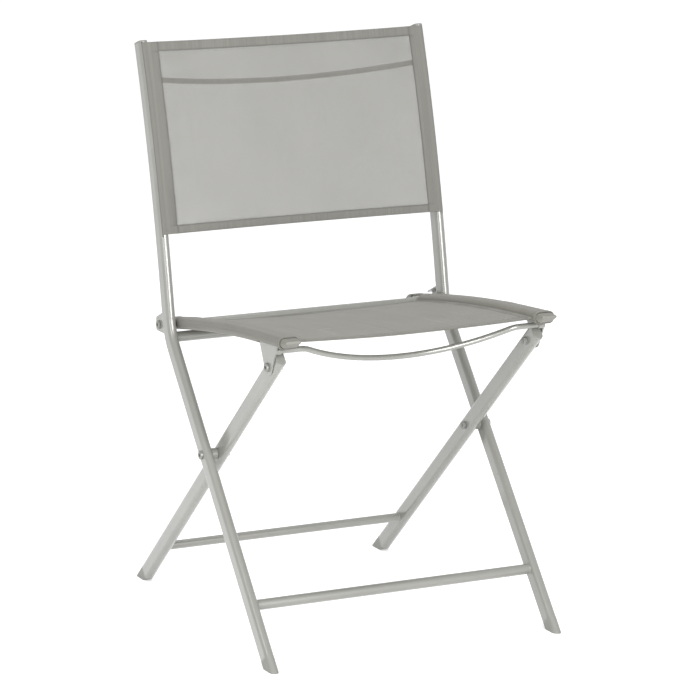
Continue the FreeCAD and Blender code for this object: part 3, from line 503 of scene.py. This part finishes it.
def seat_stitch_lines():
    def on_seat(x, y, proud):
        slack = 1 - (x / SEAT_EDGE_X) ** 2
        pitch = seat_pitch(y)
        points = seat_point(x, -SEAT_SAG * slack + proud, y)
        return points, np.stack([0 * x, np.sin(pitch), np.cos(pitch)], -1)

    def row(x, y, proud):
        return both_faces(lambda offset: on_seat(x, y, offset), proud, -proud)

    lines = []
    x = np.linspace(-SEAT_SIDE_SEAM, SEAT_SIDE_SEAM, 80)
    for end_y in (SHEET_FRONT_Y + SEAT_HEM - SEAT_STITCH_IN, SHEET_REAR_Y - SEAT_HEM + SEAT_STITCH_IN):
        lines += row(x, np.full_like(x, end_y), SEAT_PROUD_END)
    y = np.linspace(SHEET_FRONT_Y + 0.002, SHEET_REAR_Y - 0.002, 60)
    for beyond_seam in SEAT_SIDE_ROWS:
        for side in (-1, 1):
            lines += row(np.full_like(y, side * (SEAT_SIDE_SEAM + beyond_seam)), y, SEAT_PROUD_SIDE)
    return lines


# ---- materials ------------------------------------------------------------------------------------
YARN_PITCH_U, YARN_PITCH_V = 0.00090, 0.00080
STREAKS_ACROSS, STREAKS_ALONG = 560.0, 5.0      # tone streaks per metre of cloth
GAP_UNEVEN = 0.12
# the second of these is painted shade, darkening the creases along the seams
HEM_DARKENING, SEAM_PAINTED_SHADE = 0.16, 0.75
COAT_ROUGHNESS = 0.14


class Nodes:
    """Short hand for building a node tree."""

    def __init__(self, name):
        self.material = bpy.data.materials.new(name)
        self.material.use_nodes = True
        self.tree = self.material.node_tree
        self.tree.nodes.clear()

    def node(self, kind, **settings):
        made = self.tree.nodes.new("ShaderNode" + kind)
        for key, value in settings.items():
            setattr(made, key, value)
        return made

    def link(self, source, target):
        self.tree.links.new(source, target)

    def math(self, operation, a, b=None):
        """a and b are sockets or numbers."""
        made = self.node("Math", operation=operation)
        for k, value in enumerate((a, b)):
            if value is None:
                continue
            if isinstance(value, (int, float)):
                made.inputs[k].default_value = value
            else:
                self.link(value, made.inputs[k])
        return made.outputs[0]

    def noise(self, coordinate, scale, detail=3.0, roughness=0.55):
        made = self.node("TexNoise")
        made.inputs["Scale"].default_value = scale
        made.inputs["Detail"].default_value = detail
        made.inputs["Roughness"].default_value = roughness
        self.link(coordinate, made.inputs["Vector"])
        return made.outputs["Fac"]

    def ramp(self, factor, *stops):
        """A stop is (place, colour)."""
        made = self.node("ValToRGB")
        while len(made.color_ramp.elements) < len(stops):
            made.color_ramp.elements.new(0.5)
        for element, (place, colour) in zip(made.color_ramp.elements, stops):
            element.position = place
            element.color = (*colour, 1)
        self.link(factor, made.inputs["Fac"])
        return made.outputs["Color"]

    def mix(self, factor, a, b, blend="MIX"):
        made = self.node("Mix", data_type="RGBA", blend_type=blend)
        for socket, value in ((made.inputs[0], factor), (made.inputs[6], a), (made.inputs[7], b)):
            if isinstance(value, (int, float)):
                socket.default_value = value
            elif isinstance(value, tuple):
                socket.default_value = (*value, 1)
            else:
                self.link(value, socket)
        return made.outputs[2]

    def bump(self, height, strength, distance, normal=None):
        made = self.node("Bump")
        made.inputs["Strength"].default_value = strength
        made.inputs["Distance"].default_value = distance
        self.link(height, made.inputs["Height"])
        if normal is not None:
            self.link(normal, made.inputs["Normal"])
        return made.outputs["Normal"]

    def surface(self, shader):
        out = self.node("OutputMaterial")
        self.link(shader, out.inputs["Surface"])
        return self.material


def shade(colour, factor):
    return tuple(min(1.0, c * factor) for c in colour)


def coated(name, colour, roughness, grain_scale, grain, metallic=0.0, coat=0.0):
    """Painted, plated or moulded surface: fine grain, soft colour drift and faint worn patches."""
    n = Nodes(name)
    place = n.node("TexCoord").outputs["Object"]
    drift = n.noise(place, 9.0, 4.0)
    patch = n.noise(place, 70.0, 5.0, 0.65)
    base = n.ramp(drift, (0.3, shade(colour, 0.94)), (0.7, shade(colour, 1.05)))
    scuffed = n.ramp(patch, (0.62, (0, 0, 0)), (0.8, (1, 1, 1)))
    base = n.mix(n.math("MULTIPLY", scuffed, 0.10), base, shade(colour, 0.72))
    rough = n.node("MapRange")
    rough.inputs["To Min"].default_value = roughness - 0.03
    rough.inputs["To Max"].default_value = roughness + 0.05
    n.link(patch, rough.inputs["Value"])
    shader = n.node("BsdfPrincipled")
    n.link(base, shader.inputs["Base Color"])
    n.link(rough.outputs["Result"], shader.inputs["Roughness"])
    shader.inputs["Metallic"].default_value = metallic
    shader.inputs["Coat Weight"].default_value = coat
    shader.inputs["Coat Roughness"].default_value = COAT_ROUGHNESS
    grain_bump = n.bump(n.noise(place, grain_scale, 2.0), grain, 0.0002)
    wave_bump = n.bump(n.noise(place, 120.0, 2.0), 0.02, 0.0004, grain_bump)
    n.link(wave_bump, shader.inputs["Normal"])
    return n.surface(shader.outputs["BSDF"])


def woven(name, colour, hole_u, hole_v):
    """Open woven mesh of coated yarn on the cloth's own flat coordinates, closed where it is doubled.

    hole_u and hole_v are the shares of the pitch that are open between two yarns.
    """
    n = Nodes(name)
    uv = n.node("UVMap", uv_map="cloth").outputs["UV"]
    split = n.node("SeparateXYZ")
    n.link(uv, split.inputs[0])
    u = n.math("DIVIDE", split.outputs["X"], YARN_PITCH_U)
    v = n.math("DIVIDE", split.outputs["Y"], YARN_PITCH_V)
    wave_u = n.math("PINGPONG", u, 0.5)           # 0 on a yarn's middle, 0.5 between two yarns
    wave_v = n.math("PINGPONG", v, 0.5)
    hem = n.node("Attribute", attribute_name="hem").outputs["Fac"]
    seam_shade = n.node("Attribute", attribute_name="painted_seam_shade").outputs["Fac"]
    # each warp yarn has its own slight shade, with streaks along it, and the cloth drifts in tone
    yarn = n.node("TexWhiteNoise", noise_dimensions="1D")
    n.link(n.math("FLOOR", n.math("ADD", u, 0.5)), yarn.inputs["W"])
    streak = n.node("CombineXYZ")
    n.link(n.math("MULTIPLY", split.outputs["X"], STREAKS_ACROSS), streak.inputs["X"])
    n.link(n.math("MULTIPLY", split.outputs["Y"], STREAKS_ALONG), streak.inputs["Y"])
    streaks = n.noise(streak.outputs["Vector"], 1.0, 3.0)
    cloud = n.noise(uv, 14.0, 4.0)
    # the gap between the warp yarns varies along the cloth, and doubled cloth has none
    uneven = n.math("MULTIPLY", n.math("SUBTRACT", streaks, 0.5), GAP_UNEVEN)
    gap_u = n.math("GREATER_THAN", wave_u, n.math("ADD", uneven, 0.5 - hole_u / 2))
    gap_v = n.math("GREATER_THAN", wave_v, 0.5 - hole_v / 2)
    single = n.math("LESS_THAN", hem, 0.5)
    hole = n.math("MULTIPLY", n.math("MULTIPLY", gap_u, gap_v), single)
    tone = n.math("ADD", n.math("MULTIPLY", yarn.outputs["Value"], 0.20),
                  n.math("ADD", n.math("MULTIPLY", streaks, 0.55), n.math("MULTIPLY", cloud, 0.25)))
    base = n.ramp(tone, (0.3, shade(colour, 0.82)), (0.7, shade(colour, 1.18)))
    round_u = n.math("SUBTRACT", 0.5, wave_u)
    round_v = n.math("SUBTRACT", 0.5, wave_v)
    weft = n.math("MULTIPLY", n.math("POWER", round_v, 0.5), 0.7)
    height = n.math("ADD", n.math("POWER", round_u, 0.5), weft)
    # painted shade: the cloth is darker in the valleys between the yarns
    valley_shade = n.ramp(height, (0.35, (0.62, 0.62, 0.62)), (0.95, (1, 1, 1)))
    base = n.mix(1.0, base, valley_shade, "MULTIPLY")
    base = n.mix(n.math("MULTIPLY", hem, HEM_DARKENING), base, (0, 0, 0))
    # painted shade along the creased seams
    base = n.mix(n.math("MULTIPLY", seam_shade, SEAM_PAINTED_SHADE), base, shade(colour, 0.35))
    shader = n.node("BsdfPrincipled")
    n.link(base, shader.inputs["Base Color"])
    shader.inputs["Roughness"].default_value = 0.62
    shader.inputs["Sheen Weight"].default_value = 0.12
    shader.inputs["Sheen Roughness"].default_value = 0.5
    n.link(n.bump(height, 0.55, 0.0004), shader.inputs["Normal"])
    clear = n.node("BsdfTransparent")
    both = n.node("MixShader")
    n.link(hole, both.inputs["Fac"])
    n.link(shader.outputs["BSDF"], both.inputs[1])
    n.link(clear.outputs["BSDF"], both.inputs[2])
    return n.surface(both.outputs["Shader"])


def thread(name, colour):
    """Twisted sewing thread."""
    n = Nodes(name)
    place = n.node("TexCoord").outputs["Object"]
    twist = n.noise(place, 2600.0, 2.0)
    shader = n.node("BsdfPrincipled")
    base = n.ramp(twist, (0.35, shade(colour, 0.8)), (0.7, shade(colour, 1.15)))
    n.link(base, shader.inputs["Base Color"])
    shader.inputs["Roughness"].default_value = 0.7
    n.link(n.bump(twist, 0.4, 0.0002), shader.inputs["Normal"])
    return n.surface(shader.outputs["BSDF"])


FRAME_COLOUR = (0.222, 0.221, 0.201)
PLASTIC_COLOUR = (0.215, 0.214, 0.196)
TIP_COLOUR = (0.168, 0.163, 0.143)
BACK_COLOUR = (0.176, 0.171, 0.149)
SEAT_COLOUR = (0.192, 0.184, 0.156)
ZINC_COLOUR = (0.26, 0.26, 0.25)
BOLT_COLOUR = (0.22, 0.22, 0.205)

powder = coated("powder_coat", FRAME_COLOUR, roughness=0.28, grain_scale=1300.0, grain=0.03, coat=0.7)
moulded = coated("moulded_plastic", PLASTIC_COLOUR, roughness=0.5, grain_scale=2400.0, grain=0.22)
nylon = coated("nylon", PLASTIC_COLOUR, roughness=0.42, grain_scale=1800.0, grain=0.12)
tip_plastic = coated("tip_plastic", TIP_COLOUR, roughness=0.5, grain_scale=2400.0, grain=0.22)
zinc = coated("zinc_plate", ZINC_COLOUR, roughness=0.40, grain_scale=2200.0, grain=0.2, metallic=0.6)
bolt_coat = coated("coated_bolt", BOLT_COLOUR, roughness=0.34, grain_scale=2000.0, grain=0.15,
                   metallic=0.35)

BY_SLOT = {"frame": powder, "cap": moulded, "foot": moulded, "bolt": bolt_coat, "nut": zinc,
           "spacer": nylon, "keder": nylon}
for part in frame["record"]["subparts"]:
    material = BY_SLOT.get(part["material_slot"])
    if material is None:
        continue
    mesh = nodes[part["node"]].data
    mesh.materials.clear()
    mesh.materials.append(tip_plastic if part["node"].startswith("seat_tip") else material)

# ---- fabric pieces --------------------------------------------------------------------------------
back, back_width, back_length = back_fabric()
back.data.materials.append(woven("back_mesh", BACK_COLOUR, hole_u=0.63, hole_v=0.59))
seat = seat_fabric()
seat.data.materials.append(woven("seat_mesh", SEAT_COLOUR, hole_u=0.18, hole_v=0.18))
back_seams = stitches("back_stitching", back_stitch_lines())
seat_seams = stitches("seat_stitching", seat_stitch_lines())
for seams, tone in ((back_seams, BACK_COLOUR), (seat_seams, SEAT_COLOUR)):
    seams.data.materials.append(thread(seams.name + "_thread", shade(tone, 0.9)))

for piece, body, slot in ((back, "long_frame", "back_mesh"), (back_seams, "long_frame", "back_mesh"),
                          (seat, "seat", "seat_mesh"), (seat_seams, "seat", "seat_mesh")):
    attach(piece, body)
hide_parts("back_sling")
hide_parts("seat_sling")

# ---- floor, light and camera ----------------------------------------------------------------------
FLOOR_SIZE = 60.0
bpy.ops.mesh.primitive_plane_add(size=FLOOR_SIZE, location=(0, 0, 0))
floor = bpy.context.object
floor.name = "floor"
pale = Nodes("pale_floor")
floor_shader = pale.node("BsdfPrincipled")
floor_tone = pale.noise(pale.node("TexCoord").outputs["Object"], 3.0, 3.0)
floor_base = pale.ramp(floor_tone, (0.2, (0.86, 0.86, 0.86)), (0.8, (0.88, 0.88, 0.88)))
pale.link(floor_base, floor_shader.inputs["Base Color"])
floor_shader.inputs["Roughness"].default_value = 0.9
floor_shader.inputs["Specular IOR Level"].default_value = 0.1
floor_shader.inputs["Emission Color"].default_value = (1, 1, 1, 1)
floor_shader.inputs["Emission Strength"].default_value = 0.34      # keeps the background white
floor.data.materials.append(pale.surface(floor_shader.outputs["BSDF"]))

world = bpy.data.worlds.new("studio")
bpy.context.scene.world = world
world.use_nodes = True
background = world.node_tree.nodes["Background"]
background.inputs["Color"].default_value = (0.98, 0.99, 1.0, 1)
background.inputs["Strength"].default_value = 0.80


MIDDLE = Vector((0, 0, 0.42))


def area_light(name, place, size, power):
    """A rectangular light that faces the middle of the chair."""
    data = bpy.data.lights.new(name, "AREA")
    data.shape = "RECTANGLE"
    data.size, data.size_y = size
    data.energy = power
    lamp = bpy.data.objects.new(name, data)
    bpy.context.scene.collection.objects.link(lamp)
    lamp.location = place
    lamp.rotation_euler = (MIDDLE - Vector(place)).to_track_quat("-Z", "Y").to_euler()
    return lamp


area_light("front", (0.1, -2.7, 1.3), size=(1.0, 1.9), power=46)
area_light("left", (-1.65, -1.15, 1.15), size=(0.8, 1.3), power=17)
area_light("top", (0, 0.2, 2.7), size=(1.8, 1.8), power=24)
card = area_light("gloss_card", (-0.05, -3.2, 1.2), size=(1.7, 2.2), power=130)
card.visible_diffuse = False        # it shows only in reflections, as long highlights on the tubes

CAMERA_PLACE = (-2.1124, FRAME_Y - 4.30486, 1.434)
CAMERA_AZIMUTH, CAMERA_ELEVATION, CAMERA_ROLL = (math.radians(a) for a in (-25.056, 11.803, -0.365))
SENSOR, FOCAL = 36.0, 184.64
back_way = Vector((math.sin(CAMERA_AZIMUTH) * math.cos(CAMERA_ELEVATION),
                   -math.cos(CAMERA_AZIMUTH) * math.cos(CAMERA_ELEVATION), math.sin(CAMERA_ELEVATION)))
level = Vector((math.cos(CAMERA_AZIMUTH), math.sin(CAMERA_AZIMUTH), 0))
above = back_way.cross(level)
right_way = level * math.cos(CAMERA_ROLL) + above * math.sin(CAMERA_ROLL)
up_way = above * math.cos(CAMERA_ROLL) - level * math.sin(CAMERA_ROLL)
camera_data = bpy.data.cameras.new("camera")
camera_data.sensor_width = SENSOR
camera_data.lens = FOCAL
camera_data.clip_end = 200
camera = bpy.data.objects.new("camera", camera_data)
camera_turn = Matrix((right_way, up_way, back_way)).transposed().to_4x4()
camera.matrix_world = Matrix.Translation(CAMERA_PLACE) @ camera_turn
bpy.context.scene.collection.objects.link(camera)
bpy.context.scene.camera = camera
bpy.context.scene.view_settings.view_transform = "Standard"
